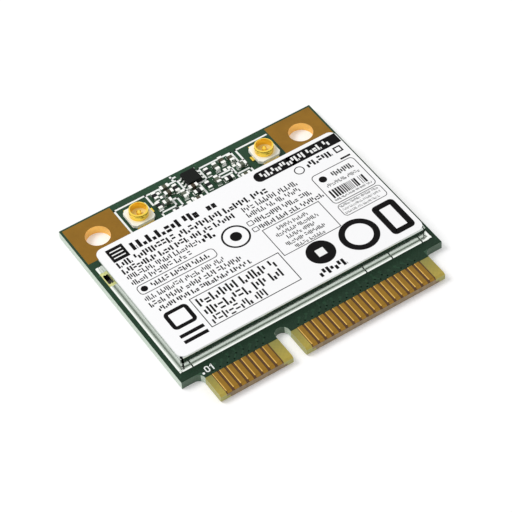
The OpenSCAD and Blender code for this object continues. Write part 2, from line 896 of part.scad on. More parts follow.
circuit_board();
solder_mask_top();
solder_mask_bottom();
screw_pad(-1);  // screw_pad_left
screw_pad(1);  // screw_pad_right
contacts_short(far_contact, top_z);  // contacts_top_short
contacts_long(near_contact, top_z);  // contacts_top_long
contacts_short(near_contact, 0);  // contacts_bottom_short
contacts_long(far_contact, 0);  // contacts_bottom_long
ground_strip();
slot_pad();
lands();
test_pads();
shield_can();
label();
socket_base(-1);  // socket_base_left
socket_base(1);  // socket_base_right
socket_ring(-1);  // socket_ring_left
socket_ring(1);  // socket_ring_right
socket_pin(-1);  // socket_pin_left
socket_pin(1);  // socket_pin_right
switch_chip();
switch_chip_leads();
capacitor_bodies();
capacitor_ends();
resistor_bodies();
resistor_ends();
inductor_bodies();
inductor_ends();
wifi_chip();
wifi_chip_contacts();
front_end_chip();
front_end_contacts();
crystal_base();
crystal_lid();
memory_chip();
memory_chip_contacts();
power_inductor();
power_inductor_ends();
inner_capacitor_bodies();
inner_capacitor_ends();
inner_resistor_bodies();
inner_resistor_ends();
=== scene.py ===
"""Dresses a half-size wireless mini card: finishes, label print, silkscreen, solder and a pale studio."""
import math
import random

import bmesh
import bpy
from bpy.props import FloatProperty, FloatVectorProperty, PointerProperty
from mathutils import Matrix, Vector


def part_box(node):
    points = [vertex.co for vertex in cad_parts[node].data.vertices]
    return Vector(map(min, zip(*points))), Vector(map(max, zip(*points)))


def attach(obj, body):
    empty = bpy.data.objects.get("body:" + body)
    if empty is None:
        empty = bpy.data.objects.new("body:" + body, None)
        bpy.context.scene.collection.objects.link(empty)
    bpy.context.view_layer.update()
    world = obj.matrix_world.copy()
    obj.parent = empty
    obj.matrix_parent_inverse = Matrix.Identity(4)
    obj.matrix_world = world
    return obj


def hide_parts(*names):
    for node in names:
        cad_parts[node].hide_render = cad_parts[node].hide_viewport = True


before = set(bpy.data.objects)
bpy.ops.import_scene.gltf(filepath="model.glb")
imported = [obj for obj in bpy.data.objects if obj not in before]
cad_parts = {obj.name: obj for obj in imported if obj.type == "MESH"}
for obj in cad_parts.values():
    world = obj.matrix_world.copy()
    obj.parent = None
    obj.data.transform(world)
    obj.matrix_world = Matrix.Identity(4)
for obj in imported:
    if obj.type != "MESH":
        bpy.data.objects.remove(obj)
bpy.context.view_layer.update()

bl_info = {
    "name": "Mini card dresser",
    "version": (1, 0, 0),
    "blender": (4, 5, 0),
    "location": "View3D > Sidebar > Mini card",
    "description": "Finishes, print, solder and studio for a half-size wireless mini card",
    "category": "Object",
}

MM = 0.001
BODY = "root"
# How far print, tracks and solder reach into what carries them, in mm
SINK = 0.003
# Points nearer than this count as one, in mm
TOUCH = 1e-4
SHARP_ANGLE = math.radians(32)
CORNER_STEPS = 6
# How far the brown painted shade between the contacts runs past a row of them, in mm
GAP_REACH = 0.08


def linear(red, green, blue):
    """Scene colour of a display colour that is given in 0 to 255."""
    shares = [level / 255 for level in (red, green, blue)]
    return tuple(s / 12.92 if s < 0.04045 else ((s + 0.055) / 1.055) ** 2.4 for s in shares)


def node_box(*names):
    """Lowest and highest corner of CAD nodes, in mm."""
    boxes = [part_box(name) for name in names]
    low = Vector([min(box[0][i] for box in boxes) / MM for i in range(3)])
    high = Vector([max(box[1][i] for box in boxes) / MM for i in range(3)])
    return low, high


def colour_property(name, description, *levels):
    """A colour whose default is given in display levels of 0 to 255."""
    return FloatVectorProperty(name=name, description=description, default=linear(*levels),
                               subtype="COLOR", min=0, max=1)


def length_property(name, description, default_mm):
    return FloatProperty(name=name, description=description, default=default_mm * MM,
                         min=0, unit="LENGTH", precision=5)


class CardColours(bpy.types.PropertyGroup):
    mask: colour_property("Solder mask", "Green skin on both faces", 27, 51, 35)
    laminate: colour_property("Laminate", "Bare glass-fibre laminate", 186, 166, 70)
    # Pale mint of the sawn walls: the lit copy of the wall colour, painted light.
    cut_edge_lit: colour_property("Cut edge", "Sawn walls of the board", 208, 224, 208)
    # Dark grey-green of the walls that face along y: the shaded copy of the wall colour, painted shade.
    front_edge_shade: colour_property("Front edge", "Walls of the board that look forwards", 74, 100, 82)
    layer: colour_property("Layers", "Lines between the layers in the board's walls", 124, 108, 80)
    tip_edge: colour_property("Tip edge", "Worn wall at the tip of the tongue", 146, 124, 92)
    # Bare laminate between the contacts, painted dark brown as the shade of the contacts.
    contact_gap_shade: colour_property("Contact gaps", "Laminate between the contacts", 82, 50, 12)
    pad_gold: colour_property("Screw pads", "Dull gold of the screw pads", 148, 107, 32)
    # Gold plating of the screw holes' walls, brightened as a painted highlight.
    hole_gold_highlight: colour_property("Hole walls", "Bright gold in the screw holes", 255, 206, 112)
    slot_gold: colour_property("Slot pad", "Pale gold of the slot pad", 242, 238, 162)
    contact_gold: colour_property("Contacts", "Gold of the edge contacts", 152, 114, 42)
    # Bright gold on the left slopes of the contacts: a painted highlight.
    contact_rim_highlight: colour_property("Contact rims", "Bright left rim of a contact", 232, 188, 98)
    socket_gold: colour_property("Sockets", "Bright gold of the antenna sockets", 255, 216, 88)
    tin: colour_property("Tin", "Tinned tracks, lands and metal ends", 255, 255, 250)
    track_tin: colour_property("Ground track", "Solder on the track round the can", 250, 255, 248)
    sheet: colour_property("Can", "Sheet metal of the shield can", 204, 211, 205)
    paper: colour_property("Label", "Paper of the label", 253, 253, 254)
    ink: colour_property("Ink", "Black print on the label", 12, 11, 12)
    silk: colour_property("Silkscreen", "White lines printed on the board", 250, 255, 250)
    plastic: colour_property("Socket base", "Moulded base of a socket", 255, 254, 244)
    # Solder line at the can's foot, coloured dark grey as painted shade of the gap there.
    seam: colour_property("Can seam", "Solder line at the foot of the can", 140, 148, 138)
    tongue_side: colour_property("Tongue side", "Sawn sides of the tongue", 176, 172, 98)
    epoxy: colour_property("Chip", "Moulded body of a chip", 22, 24, 22)
    capacitor: colour_property("Capacitor", "Ceramic of the capacitors", 72, 62, 48)
    capacitor_light: colour_property("Light capacitor", "Lighter batch of the capacitors", 94, 96, 78)
    resistor: colour_property("Resistor", "Glaze of the resistors", 30, 32, 32)
    inductor: colour_property("Inductor", "Ceramic of the inductors", 84, 92, 78)
    inductor_light: colour_property("Light inductor", "Lighter batch of the inductors", 118, 124, 108)
    floor: colour_property("Floor", "Plain pale floor", 243, 242, 243)


class CardSizes(bpy.types.PropertyGroup):
    ink_t: length_property("Ink thickness", "Height of the print above the label", 0.006)
    silk_w: length_property("Silkscreen width", "Width of a silkscreen line", 0.2)
    silk_t: length_property("Silkscreen thickness", "Height of a line above the solder mask", 0.015)
    contact_slope: length_property("Contact slope", "Width of the sloped sides of a contact", 0.06)
    stub_w: length_property("Stub width", "Width of the plating stub past each contact", 0.5)
    seam_w: length_property("Seam width", "Reach of the solder line past the foot of the can", 0.07)
    fillet_out: length_property("Solder reach", "Length of solder past a metal end", 0.1)
    track_w: length_property("Track width", "Width of a copper track under the solder mask", 0.16)
    track_t: length_property("Track height", "Height of a track under the solder mask", 0.008)
    via_r: length_property("Via radius", "Radius of a via under the solder mask", 0.17)


class StageSettings(bpy.types.PropertyGroup):
    azimuth: FloatProperty(name="Azimuth", description="Camera's turn round the card",
                           default=math.radians(-29.1734), unit="ROTATION")
    elevation: FloatProperty(name="Elevation", description="Camera's height as an angle",
                             default=math.radians(48.9154), unit="ROTATION")
    roll: FloatProperty(name="Roll", description="Camera's turn about its own axis",
                        default=math.radians(-5.0283), unit="ROTATION")
    distance: length_property("Distance", "From the camera to its target", 217.5346)
    target: FloatVectorProperty(name="Target", description="Point that the camera looks at",
                                default=(-0.6258 * MM, -0.535 * MM, 0.608 * MM), unit="LENGTH",
                                precision=5)
    lens: FloatProperty(name="Lens", description="Focal length", default=156.0, unit="CAMERA")
    world_level: FloatProperty(name="World", description="Level of the light from all round",
                               default=0.6)
    key_power: FloatProperty(name="Key lamp", description="Power of the large lamp at the back left",
                             default=0.9, unit="POWER")
    floor_lift: FloatProperty(name="Floor lift", description="Glow that the camera sees on the floor",
                              default=0.2)


class Value:
    """An output of a shader node. Sums and products of values add Math nodes."""

    def __init__(self, finish, socket):
        self.finish = finish
        self.socket = socket

    def math(self, operation, *terms):
        return self.finish.add("ShaderNodeMath", {"operation": operation}, dict(enumerate(terms)))

    def __add__(self, other):
        return self.math("ADD", self, other)

    __radd__ = __add__

    def __sub__(self, other):
        return self.math("SUBTRACT", self, other)

    def __rsub__(self, other):
        return self.math("SUBTRACT", other, self)

    def __mul__(self, other):
        return self.math("MULTIPLY", self, other)

    __rmul__ = __mul__

    def __truediv__(self, other):
        return self.math("DIVIDE", self, other)

    def __gt__(self, other):
        return self.math("GREATER_THAN", self, other)

    def __lt__(self, other):
        return self.math("LESS_THAN", self, other)

    def sine(self):
        return self.math("SINE", self)

    def size(self):
        return self.math("ABSOLUTE", self)

    def bounded(self):
        """Kept between 0 and 1."""
        return self.math("MAXIMUM", self.math("MINIMUM", self, 1.0), 0.0)

    def fraction(self):
        return self.math("FRACT", self)


class Finish:
    """A node tree that is being built: one way to add any node, and a place in mm to read."""

    def __init__(self, tree):
        self.tree = tree

    def add(self, kind, settings=None, inputs=None, output=0):
        """Adds a node of a kind with its settings and sockets, and gives one of its outputs, if any."""
        node = self.tree.nodes.new(kind)
        for name, value in (settings or {}).items():
            setattr(node, name, value)
        for key, value in (inputs or {}).items():
            if isinstance(value, Value):
                self.tree.links.new(value.socket, node.inputs[key])
            else:
                node.inputs[key].default_value = value
        return Value(self, node.outputs[output]) if node.outputs else None

    def place(self):
        """Object coordinates in mm."""
        metres = self.add("ShaderNodeTexCoord", output="Object")
        return self.add("ShaderNodeVectorMath", {"operation": "SCALE"}, {0: metres, "Scale": 1 / MM})

    def parts(self, vector):
        """The x, y and z of a vector."""
        first = self.add("ShaderNodeSeparateXYZ", inputs={0: vector})
        return [Value(self, socket) for socket in first.socket.node.outputs]

    def normal(self):
        """The x, y and z of the direction that a face looks in."""
        return self.parts(self.add("ShaderNodeNewGeometry", output="True Normal"))

    def stretched(self, place, x, y, z):
        return self.add("ShaderNodeVectorMath", {"operation": "MULTIPLY"}, {0: place, 1: (x, y, z)})

    def noise(self, place, scale, detail):
        return self.add("ShaderNodeTexNoise", inputs={"Vector": place, "Scale": scale, "Detail": detail})

    def blend(self, share, first, second):
        """Colour between two colours, or a colour and a link."""
        first, second = [c if isinstance(c, Value) else (*c, 1) for c in (first, second)]
        return self.add("ShaderNodeMix", {"data_type": "RGBA"}, {0: share, 6: first, 7: second}, 2)

    def bump(self, height, distance_mm):
        return self.add("ShaderNodeBump", inputs={"Height": height, "Distance": distance_mm * MM})


def material(name, fixed, paint):
    """A material whose Principled shader has fixed values, and what paint(finish, place) links to it."""
    made = bpy.data.materials.new(name)
    made.use_nodes = True
    shader = made.node_tree.nodes["Principled BSDF"]
    for key, value in fixed.items():
        shader.inputs[key].default_value = value
    finish = Finish(made.node_tree)
    for key, value in paint(finish, finish.place()).items():
        made.node_tree.links.new(value.socket, shader.inputs[key])
    return made


def shade(colour, factor):
    """A colour made darker or lighter by a factor."""
    return tuple(min(1.0, channel * factor) for channel in colour)


def within(value, low, high):
    """1 where a value lies between two limits, and 0 elsewhere."""
    return (value > low) * (value < high)


def facing(finish, axis):
    """1 on faces that look along an axis, either way, and 0 on the others."""
    return finish.normal()["xyz".index(axis)].size() > 0.7


def mask_finish(name, colours, lift):
    """Glossy green skin over a faint weave, lighter towards the screw edge as a painted reflection, and
    lighter by a lift.
    """
    colour = shade(colours.mask, lift)
    low, high = node_box("solder_mask_top")

    def paint(finish, place):
        cloud = finish.noise(place, 0.8, 4.0)
        grain = finish.noise(place, 7.0, 2.0)
        x, y = finish.parts(place)[:2]
        weave = ((x * 13.9).sine() * (y * 13.9).sine()) * 0.5 + 0.5
        # Painted reflection: the green is blended lighter towards the back, the screw edge.
        back = (y - low.y) / (high.y - low.y)
        tone = finish.blend(cloud, shade(colour, 0.7), shade(colour, 1.2))
        tone = finish.blend(back * 0.55, tone, shade(colour, 2.6))
        tone = finish.blend(weave * 0.12, tone, shade(colour, 2.4))
        return {"Base Color": tone, "Roughness": grain * 0.12 + 0.2,
                "Normal": finish.bump(grain + weave * 0.3, 0.004)}

    return material(name, {"Specular IOR Level": 0.14, "IOR": 1.5}, paint)


def laminate_finish(colours):
    """Woven laminate: yellow on the tongue, brown between the contacts as painted shade, and grey at the
    sawn walls, pale as painted light on most and dark as painted shade on those that face along y.
    """
    low, high = node_box("circuit_board")
    core_t = high.z - low.z
    middle_z = (low.z + high.z) / 2
    field_y = node_box("contacts_top_long")[1].y
    rows = [(node_box("contacts_top_" + side), node_box("contacts_bottom_" + side))
            for side in ("short", "long")]

    def paint(finish, place):
        x, y, z = finish.parts(place)
        weave = ((x * 12.0).sine() * (y * 12.0).sine()) * 0.5 + 0.5
        cloud = finish.noise(place, 1.1, 4.0)
        tongue = y < field_y
        upper = z > middle_z
        gaps = 0.0
        for top, bottom in rows:
            gaps = (within(x, top[0].x - GAP_REACH, top[1].x + GAP_REACH) * upper
                    + within(x, bottom[0].x - GAP_REACH, bottom[1].x + GAP_REACH) * (1 - upper) + gaps)
        bare = finish.blend(weave * 0.2 + cloud * 0.3, colours.laminate, shade(colours.laminate, 0.6))
        root = (y - low.y) / (field_y - low.y)
        bare = finish.blend(root * 0.45, bare, shade(colours.mask, 3.0))
        face = finish.blend(tongue, shade(colours.mask, 2.0), bare)
        # Painted shade: the laminate between the contacts is darkened to brown.
        face = finish.blend(gaps * tongue, face, colours.contact_gap_shade)
        fibres = finish.noise(finish.stretched(place, 3.0, 3.0, 22.0), 1.0, 3.0)
        layer = (((z - low.z) / core_t * 3.0).fraction() - 0.5).size() > 0.44
        # Painted light and shade: off the tongue, walls that face along y take the dark shaded copy and the
        # others keep the pale lit copy.
        cut = finish.blend(fibres, shade(colours.cut_edge_lit, 1.1), shade(colours.cut_edge_lit, 0.75))
        cut = finish.blend(facing(finish, "y") * (1 - tongue), cut, colours.front_edge_shade)
        cut = finish.blend(tongue, cut, colours.tongue_side)
        stripes = finish.noise(finish.stretched(place, 2.6, 0.1, 1.2), 1.0, 2.0)
        tip = finish.blend(stripes, shade(colours.tip_edge, 0.55), shade(colours.tip_edge, 1.5))
        wall = finish.blend(gaps * (y < low.y + 0.02), cut, tip)
        wall = finish.blend(layer * 0.3, wall, colours.layer)
        tone = finish.blend(facing(finish, "z"), wall, face)
        return {"Base Color": tone, "Normal": finish.bump(fibres + weave * 0.2, 0.01)}

    return material("laminate", {"Roughness": 0.42, "Specular IOR Level": 0.4}, paint)


def plated_finish(name, face_colour, painted_wall_colour, roughness, metallic):
    """Plating that is dull on the face and another colour on the walls of its hole: a painted highlight in
    the screw holes and painted shade in the slot.
    """
    def paint(finish, place):
        cloud = finish.noise(place, 0.9, 4.0)
        grain = finish.noise(place, 6.0, 3.0)
        face = finish.blend(cloud, shade(face_colour, 0.82), shade(face_colour, 1.18))
        # The walls of the hole take the second colour: a painted highlight in the screw holes, painted
        # shade in the slot.
        wall = finish.blend(grain, shade(painted_wall_colour, 0.9), shade(painted_wall_colour, 1.05))
        return {"Base Color": finish.blend(facing(finish, "z"), wall, face),
                "Roughness": grain * 0.16 + (roughness - 0.08), "Normal": finish.bump(grain, 0.004)}

    return material(name, {"Metallic": metallic}, paint)


def metal_finish(name, colour, roughness, ripple_mm, scale, metallic=1.0, blotch=0.12):
    """Plated or tinned metal: slight blotches in colour and roughness, and a shallow ripple."""
    def paint(finish, place):
        cloud = finish.noise(place, scale * 0.3, 3.0)
        ripple = finish.noise(place, scale, 3.0)
        tone = finish.blend(cloud, shade(colour, 1 - blotch), shade(colour, 1 + blotch))
        return {"Base Color": tone, "Roughness": ripple * 0.16 + (roughness - 0.08),
                "Normal": finish.bump(ripple, ripple_mm)}

    return material(name, {"Metallic": metallic}, paint)


def contact_finish(colours):
    """Dull gold with a painted highlight on the left side of each contact and painted shade on the right.
    """
    colour = colours.contact_gold

    def paint(finish, place):
        cloud = finish.noise(place, 1.8, 3.0)
        grain = finish.noise(place, 6.0, 3.0)
        side = finish.normal()[0]
        tone = finish.blend(cloud, shade(colour, 0.84), shade(colour, 1.16))
        # Painted highlight on faces that look left, painted shade on faces that look right.
        tone = finish.blend(side < -0.25, tone, colours.contact_rim_highlight)
        tone = finish.blend(side > 0.25, tone, shade(colour, 0.3))
        return {"Base Color": tone, "Roughness": grain * 0.16 + 0.26,
                "Normal": finish.bump(grain, 0.004)}

    return material("contact_gold", {"Metallic": 0.85}, paint)


def sheet_finish(colours):
    """Bright rolled sheet with fine lines along x."""
    colour = colours.sheet

    def paint(finish, place):
        rolled = finish.noise(finish.stretched(place, 0.5, 9.0, 9.0), 3.0, 3.0)
        cloud = finish.noise(place, 0.5, 3.0)
        tone = finish.blend(cloud, shade(colour, 0.94), shade(colour, 1.05))
        return {"Base Color": tone, "Roughness": rolled * 0.12 + 0.08,
                "Normal": finish.bump(rolled, 0.003)}

    return material("can_sheet", {"Metallic": 1.0}, paint)


def matt_finish(name, colour, roughness, grain_scale, grain_mm, spread=0.12, specular=0.4):
    """Paper, ink, plastic or ceramic: a fine grain in colour and height."""
    def paint(finish, place):
        grain = finish.noise(place, grain_scale, 4.0)
        tone = finish.blend(grain, shade(colour, 1 - spread), shade(colour, 1 + spread))
        return {"Base Color": tone, "Normal": finish.bump(grain, grain_mm)}

    return material(name, {"Roughness": roughness, "Specular IOR Level": specular}, paint)


def socket_plastic_finish(colours):
    """Cream moulding that turns gold towards the ring: a painted reflection of the ring that shines on it.
    """
    places = [sum(node_box("socket_ring_" + side), Vector()) / 2 for side in ("left", "right")]

    def paint(finish, place):
        grain = finish.noise(place, 5.0, 3.0)
        glow = 0.0
        for centre in places:
            away = finish.add("ShaderNodeVectorMath", {"operation": "DISTANCE"},
                              {0: finish.stretched(place, 1, 1, 0), 1: (centre.x, centre.y, 0)}, "Value")
            # Painted reflection: the plastic near the ring is blended towards the ring's gold.
            glow = within(away, -1.0, 0.86) * 0.75 + within(away, 0.86, 1.2) * 0.2 + glow
        tone = finish.blend(grain * 0.1, colours.plastic, shade(colours.plastic, 0.8))
        tone = finish.blend(glow, tone, colours.socket_gold)
        return {"Base Color": tone, "Normal": finish.bump(grain, 0.004)}

    return material("socket_plastic", {"Roughness": 0.38, "Specular IOR Level": 0.4}, paint)


def ceramic_finish(name, colour, second):
    """Ceramic of the small parts, which differs a little from one part to the next."""
    def paint(finish, place):
        batch = finish.noise(finish.stretched(place, 1, 1, 0), 0.55, 1.0)
        grain = finish.noise(place, 6.0, 4.0)
        tone = finish.blend(((batch - 0.4) * 5.0).bounded(), colour, second)
        tone = finish.blend(grain * 0.4, tone, shade(colour, 0.5))
        return {"Base Color": tone, "Normal": finish.bump(grain, 0.004)}

    return material(name, {"Roughness": 0.35, "Specular IOR Level": 0.25}, paint)


def dress(names, finish):
    """Gives CAD nodes a finish."""
    for name in names:
        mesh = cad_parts[name].data
        mesh.materials.clear()
        mesh.materials.append(finish)


def node_islands(name):
    """Lowest and highest corner of each separate solid of a CAD node, in mm."""
    shape = bmesh.new()
    shape.from_mesh(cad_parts[name].data)
    bmesh.ops.remove_doubles(shape, verts=shape.verts, dist=MM * TOUCH)
    boxes, seen = [], set()
    for start in shape.verts:
        if start in seen:
            continue
        seen.add(start)
        stack, found = [start], []
        while stack:
            vert = stack.pop()
            found.append(vert.co / MM)
            near = {edge.other_vert(vert) for edge in vert.link_edges} - seen
            seen |= near
            stack.extend(near)
        boxes.append([Vector([pick(v[i] for v in found) for i in range(3)]) for pick in (min, max)])
    shape.free()
    return boxes


def mesh_of(name, shape):
    """A mesh made of a shape, which is then freed."""
    mesh = bpy.data.meshes.new(name)
    shape.to_mesh(mesh)
    shape.free()
    return mesh


def put_object(name, data):
    made = bpy.data.objects.new(name, data)
    bpy.context.scene.collection.objects.link(made)
    return made


def add_piece(name, shape, finish, stands_for=()):
    """Makes a mesh of mm a piece that rides on the card."""
    bmesh.ops.scale(shape, vec=(MM, MM, MM), verts=shape.verts)
    mesh = mesh_of(name, shape)
    mesh.shade_smooth()
    mesh.set_sharp_from_angle(angle=SHARP_ANGLE)
    mesh.materials.append(finish)
    piece = put_object(name, mesh)
    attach(piece, BODY)
    if stands_for:
        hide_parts(*stands_for)


def add_box(shape, middle, size, turn=0.0):
    """A box about its middle, turned about the upright axis."""
    place = Matrix.Translation(middle) @ Matrix.Rotation(turn, 4, "Z") @ Matrix.Diagonal((*size, 1))
    return bmesh.ops.create_cube(shape, size=1.0, matrix=place)["verts"]


def add_block(shape, low, high):
    """A box between two corners."""
    low, high = Vector(low), Vector(high)
    return add_box(shape, (low + high) / 2, high - low)


def add_line(shape, start, end, width, z_low, z_high):
    """A bar along a level line, with square ends that run half a width past it."""
    start, end = Vector(start), Vector(end)
    along = end - start
    middle = (*((start + end) / 2), (z_low + z_high) / 2)
    add_box(shape, middle, (along.length + width, width, z_high - z_low), math.atan2(along.y, along.x))


def add_path(shape, points, width, z_low, z_high):
    """Bars from point to point."""
    for start, end in zip(points, points[1:]):
        add_line(shape, start, end, width, z_low, z_high)


def add_disc(shape, centre, radius, sides, z_low, z_high):
    bmesh.ops.create_cone(shape, cap_ends=True, segments=sides, radius1=radius, radius2=radius,
                          depth=z_high - z_low,
                          matrix=Matrix.Translation((*centre, (z_low + z_high) / 2)))


def add_ring(shape, centre, outer, inner, sides, z_low, z_high):
    """A flat ring: the section of its band spun all round."""
    corners = [(outer, z_low), (outer, z_high), (inner, z_high), (inner, z_low)]
    verts = [shape.verts.new((centre[0] + x, centre[1], z)) for x, z in corners]
    edges = [shape.edges.new((verts[i - 1], verts[i])) for i in range(len(verts))]
    bmesh.ops.spin(shape, geom=verts + edges, cent=(*centre, 0), axis=(0, 0, 1),
                   angle=math.tau, steps=sides, use_merge=True)


def flat_sheet(low, high, radius):
    """A flat rectangle with rounded corners, in a mesh of its own."""
    low, high = Vector(low), Vector(high)
    sheet = bmesh.new()
    bmesh.ops.create_grid(sheet, x_segments=1, y_segments=1, size=0.5)
    bmesh.ops.scale(sheet, vec=(*(high - low), 1), verts=sheet.verts)
    bmesh.ops.translate(sheet, vec=(*((high + low) / 2), 0), verts=sheet.verts)
    if radius > 0:
        bmesh.ops.bevel(sheet, geom=sheet.verts[:], offset=radius, offset_type="OFFSET",
                        segments=CORNER_STEPS, profile=0.5, affect="VERTICES", material=-1)
    return sheet


def raise_sheet(shape, sheet, z_low, z_high):
    """Gives a flat sheet its thickness and joins it to a shape."""
    bmesh.ops.solidify(sheet, geom=sheet.faces[:], thickness=z_high - z_low)
    lowest = min(vert.co.z for vert in sheet.verts)
    bmesh.ops.translate(sheet, vec=(0, 0, z_low - lowest), verts=sheet.verts)
    bmesh.ops.recalc_face_normals(sheet, faces=sheet.faces[:])
    join(shape, sheet)


def join(shape, part):
    """Adds a mesh in the making to a shape, and frees it."""
    mesh = mesh_of("joined", part)
    shape.from_mesh(mesh)
    bpy.data.meshes.remove(mesh)


def add_outline(shape, low, high, stroke, radius, z_low, z_high):
    """The outline of a rectangle with rounded corners."""
    sheet = flat_sheet(low, high, radius)
    inner = sheet.faces[:]
    bmesh.ops.inset_region(sheet, faces=inner, thickness=stroke, use_even_offset=True,
                           use_boundary=True)
    bmesh.ops.delete(sheet, geom=inner, context="FACES")
    raise_sheet(shape, sheet, z_low, z_high)


# Silkscreen on the upper face, in mm from the middle of the card: each line's corner points
SILK_PATHS = (
    ((-9.13, 8.9), (-9.13, 12.45), (-5.5, 12.45), (-5.5, 10.9)),
    ((-5.5, 12.38), (-1.8, 12.38), (-1.8, 10.68), (0.8, 10.68), (0.8, 12.42), (4.7, 12.42),
     (4.7, 10.78), (5.25, 10.78), (5.25, 12.42), (9.0, 12.42)),
    ((-2.15, 13.1), (-2.15, 12.6)),
    ((-2.15, 12.85), (-1.75, 12.85)),
    ((-0.2, 10.6), (-0.2, 8.3)),
    ((-5.35, 8.6), (-5.35, 9.45), (-3.55, 9.45), (-3.55, 10.35), (-3.0, 10.35), (-3.0, 9.1),
     (-3.9, 9.1)),
    ((1.95, 10.0), (3.5, 10.0), (3.5, 10.45), (1.95, 10.45), (1.95, 10.0)),
    ((3.65, 10.5), (3.65, 9.5), (5.25, 9.5), (5.25, 8.9)),
    ((3.65, 9.5), (3.65, 9.1)),
)
SILK_DOTS = (((0.45, 12.8), 0.1, 20), ((-12.7, -10.2), 0.13, 20))
# The first contact's number: its nought's corners, stroke and radius, and each bar's ends and width
NOUGHT = ((-12.4, -10.3), (-11.93, -9.55), 0.12, 0.2)
ONE = (((-11.6, -10.24), (-11.6, -9.61), 0.12), ((-11.78, -9.75), (-11.64, -9.63), 0.1))


class CARD_OT_silkscreen(bpy.types.Operator):
    """Prints the white lines and the first contact's number on the board"""

    bl_idname = "mini_card.silkscreen"
    bl_label = "Silkscreen"

    def execute(self, context):
        sizes = context.scene.card_sizes
        width = sizes.silk_w / MM
        top = node_box("solder_mask_top")[1].z
        levels = (top - SINK, top + sizes.silk_t / MM)
        shape = bmesh.new()
        for points in SILK_PATHS:
            add_path(shape, points, width, *levels)
        for dot in SILK_DOTS:
            add_disc(shape, *dot, *levels)
        add_outline(shape, *NOUGHT, *levels)
        for bar in ONE:
            add_line(shape, *bar, *levels)
        finish = matt_finish("silkscreen_ink", context.scene.card_colours.silk, 0.5, 6.0, 0.004)
        add_piece("silkscreen", shape, finish)
        return {"FINISHED"}


# Rows of small print, in mm: left end, right end, foot, head, and stroke as a share of the height
PRINT_ROWS = (
    (-10.71, -2.54, 5.62, 6.7, 0.25), (-2.04, -0.48, 5.7, 6.6, 0.28),
    (-13.07, 4.78, 4.41, 5.21, 0.19), (-13.07, -0.38, 3.46, 4.16, 0.2),
    (-13.07, -4.8, 2.61, 3.26, 0.14), (-4.6, -3.0, 2.5, 3.3, 0.24),
    (-13.07, -6.0, 1.75, 2.41, 0.14), (-11.6, -4.75, 0.55, 1.15, 0.18),
    (-13.07, -3.79, -0.7, -0.08, 0.13), (-13.07, -2.59, -1.61, -0.95, 0.15),
    (-12.62, -2.09, -2.45, -1.89, 0.2),
    (0.72, 7.34, 3.46, 4.16, 0.13), (0.72, 6.94, 2.61, 3.26, 0.13),
    (0.92, 7.54, 1.6, 2.26, 0.14), (0.92, 8.44, 0.66, 1.27, 0.16),
    (9.25, 12.3, 4.75, 5.52, 0.22),
    (-9.2, 0.1, -4.25, -3.15, 0.14), (-9.2, -0.4, -5.6, -4.5, 0.14),
    (-9.2, -2.79, -6.8, -5.8, 0.13),
    (2.27, 5.74, -7.96, -7.08, 0.26),
    (2.2, 6.0, -0.45, 0.05, 0.14), (1.6, 6.6, -1.2, -0.7, 0.14), (2.4, 5.8, -1.95, -1.45, 0.14),
    (1.8, 6.4, -2.7, -2.2, 0.14), (2.4, 5.9, -3.4, -2.95, 0.14),
    (10.6, 13.3, 2.25, 2.95, 0.16), (9.3, 13.2, 1.35, 1.8, 0.12),
    (8.9, 13.3, -0.62, -0.35, 0.14),
    (8.8, 13.4, -1.6, -1.3, 0.12), (8.8, 13.4, -2.1, -1.8, 0.1), (8.8, 12.9, -2.6, -2.3, 0.1),
)
# Outlines of boxes: low corner, high corner, stroke and corner radius
PRINT_BOXES = (
    ((-13.08, 0.2), (-4.29, 1.5), 0.08, 0.45), ((0.82, -3.59), (7.5, 0.47), 0.08, 0),
    ((-9.66, -7.02), (0.57, -2.81), 0.09, 0), ((8.55, -0.95), (13.66, 3.56), 0.08, 0.5),
    ((8.55, -2.87), (13.66, -1.14), 0.07, 0.4), ((0.12, 1.6), (0.77, 2.26), 0.08, 0.1),
    ((0.12, 0.66), (0.77, 1.27), 0.08, 0.1), ((12.62, 4.75), (13.5, 5.6), 0.16, 0),
    ((-12.75, -5.4), (-10.1, -2.9), 0.42, 0.5), ((11.0, -7.7), (13.6, -3.4), 0.65, 0.5),
)
# Solid blocks: low and high corner. Discs: centre, radius and sides. Rings: centre, two radii and sides
PRINT_BLOCKS = (
    ((-13.12, 5.35), (-11.26, 7.18)), ((12.5, 3.76), (13.66, 3.98)), ((-12.75, -6.5), (-10.1, -6.08)),
    ((-12.75, -7.3), (-10.1, -6.88)), ((8.0, 5.92), (14.0, 7.27)),
)
PRINT_DISCS = (((-1.64, 1.3), 0.6, 40), ((-12.4, 0.85), 0.36, 24), ((3.97, -5.22), 1.5, 40),
               ((9.5, 2.6), 0.42, 28))
PRINT_RINGS = (((-1.64, 1.3), 1.48, 1.28, 48), ((8.29, 5.01), 0.55, 0.44, 32), ((8.3, -5.5), 2.05, 1.4, 48))
# The black bar with a round left end: low corner, high corner and corner radius
PRINT_BAR = ((3.97, 5.92), (9.0, 7.27), 0.6)
# White on black: a row of marks, blocks, and their reach into and above the ink
REVERSED_ROW = (4.7, 13.2, 6.2, 7.0, 0.2)
REVERSED_BLOCKS = (((-12.85, 5.75), (-11.55, 5.89)), ((-12.85, 6.2), (-11.55, 6.34)),
                   ((-12.85, 6.65), (-11.55, 6.79)), ((3.5, -5.7), (4.45, -4.75)))
REVERSED_SINK, REVERSED_RISE = 0.001, 0.004
PRINT_SEED = 11
